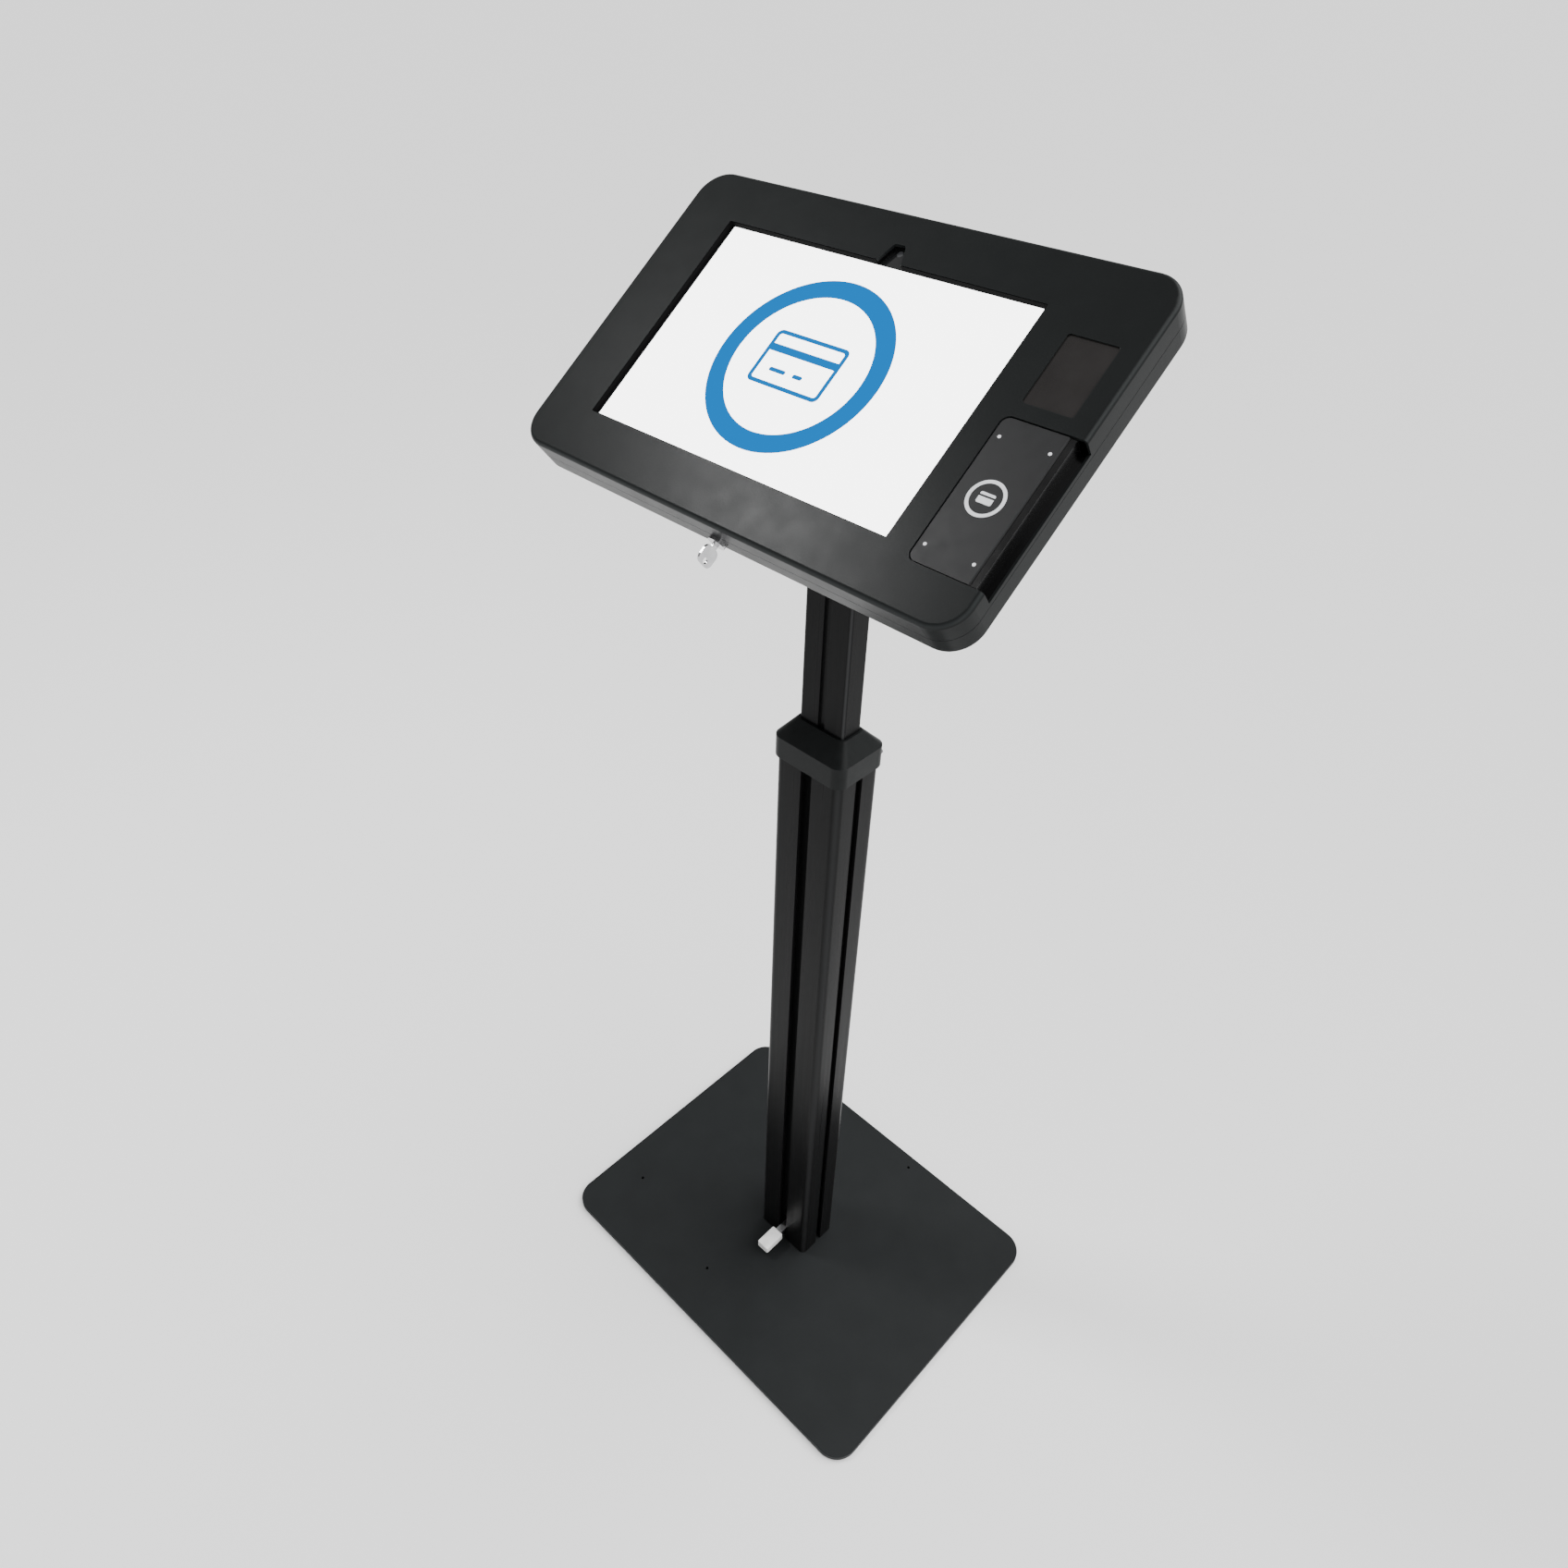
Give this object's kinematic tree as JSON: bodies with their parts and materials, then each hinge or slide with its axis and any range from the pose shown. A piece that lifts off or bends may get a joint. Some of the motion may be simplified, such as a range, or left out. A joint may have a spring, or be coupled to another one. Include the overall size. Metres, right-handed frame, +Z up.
{
  "type": "pos touchscreen terminal",
  "caption": "Free-standing payment terminal: tilting tablet enclosure with card reader and locked front cover on a telescopic column with foot pedal and floor plate.",
  "frame": {"origin": "on the floor under the middle of the base plate", "axes": "+Z up, +X to the user's right, front towards -Y"},
  "size_m": [0.44, 0.34, 1.1226],
  "materials": {
    "base_paint": "satin black powder coat",
    "foot_rubber": "matt black rubber",
    "column_anodised": "black anodised extrusion",
    "mast_anodised": "black anodised extrusion",
    "plug_aluminium": "plain machined",
    "glide_plastic": "natural acetal",
    "collar_plastic": "fine textured black moulding",
    "screw_steel": "black oxide steel",
    "bracket_steel": "zinc plated steel",
    "pedal_steel": "dull grey steel",
    "pedal_sleeve": "smooth white sleeve",
    "rod_chrome": "polished rod",
    "spring_paint": "gloss black paint",
    "hinge_paint": "satin black powder coat",
    "knob_plastic": "black moulding",
    "housing_paint": "satin black powder coat",
    "cover_paint": "satin black powder coat",
    "tablet_shell": "dark grey shell",
    "tablet_glass": "lit display glass",
    "lens_glass": "dark lens",
    "bracket_plastic": "black moulding",
    "window_acrylic": "smoked acrylic",
    "module_plastic": "black moulding",
    "pad_plastic": "fine satin black",
    "rail_plastic": "gloss black",
    "indicator_white": "clear white indicator",
    "symbol_white": "white print",
    "lock_chrome": "nickel plated"
  },
  "bodies": {
    "base": {"base_plate": "base_paint", "base_feet": "foot_rubber", "foot_screws": "screw_steel", "lower_column": "column_anodised", "column_bushing": "glide_plastic", "column_collar": "collar_plastic", "collar_screws": "screw_steel", "pedal_bracket": "bracket_steel", "pedal_pin": "bracket_steel", "gas_spring_rod": "rod_chrome", "rod_nut": "bracket_steel"},
    "pedal": {"pedal_lever": "pedal_steel", "pedal_sleeve": "pedal_sleeve"},
    "release": {"release_pin": "bracket_steel"},
    "mast": {"inner_column": "mast_anodised", "column_shoe": "glide_plastic", "column_plug": "plug_aluminium", "gas_spring_tube": "spring_paint", "spring_pin": "bracket_steel", "tilt_yoke": "hinge_paint", "yoke_screws": "screw_steel"},
    "head": {"tilt_bracket": "hinge_paint", "bracket_screws": "screw_steel", "bracket_nuts": "screw_steel", "tilt_washers": "glide_plastic", "tilt_bolt": "bracket_steel", "tilt_knob": "knob_plastic", "rear_housing": "housing_paint", "cable_grommet": "foot_rubber", "tablet_body": "tablet_shell", "tablet_glass": "tablet_glass", "camera_lens": "lens_glass", "tablet_brackets": "bracket_plastic", "housing_knuckles": "hinge_paint", "hinge_pins": "bracket_steel", "lock_barrel": "lock_chrome", "lock_nut": "bracket_steel"},
    "cover": {"front_cover": "cover_paint", "screen_gasket": "foot_rubber", "scanner_window": "window_acrylic", "scanner_module": "module_plastic", "reader_pad": "pad_plastic", "reader_leds": "indicator_white", "reader_symbol": "symbol_white", "reader_body": "module_plastic", "reader_screws": "screw_steel", "reader_rail": "rail_plastic", "cover_catch": "bracket_steel", "cover_knuckles": "hinge_paint"},
    "lock": {"lock_plug": "lock_chrome", "lock_cam": "bracket_steel", "cam_nut": "bracket_steel", "door_key": "lock_chrome"}
  },
  "joints": [
    {"name": "height_slide", "type": "slide", "parent": "base", "child": "mast", "axis": [0, 0, 1], "range_m": [-0.19, 0.14]},
    {"name": "pedal_press", "type": "hinge", "parent": "base", "child": "pedal", "pos_m": [0, -0.007, 0.024], "axis": [1, 0, 0], "range_deg": [0, 8], "stiffness_Nm_per_rad": 2, "springref_deg": -5.73},
    {"name": "release_slide", "type": "slide", "parent": "base", "child": "release", "axis": [0, 0, 1], "range_m": [0, 0.001]},
    {"name": "head_tilt", "type": "hinge", "parent": "mast", "child": "head", "pos_m": [0, 0, 1.012], "axis": [1, 0, 0], "range_deg": [-28, 35]},
    {"name": "cover_open", "type": "hinge", "parent": "head", "child": "cover", "pos_m": [0, 0.06884, 1.11398], "axis": [-1, 0, 0], "range_deg": [0, 95]},
    {"name": "lock_turn", "type": "hinge", "parent": "head", "child": "lock", "pos_m": [0, -0.12237, 0.95907], "axis": [0, 0.7934, 0.6088], "range_deg": [0, 90]}
  ],
  "couplings": [
    {"joint": "release_slide", "follows": "pedal_press", "m_per_rad": 0.007}
  ]
}
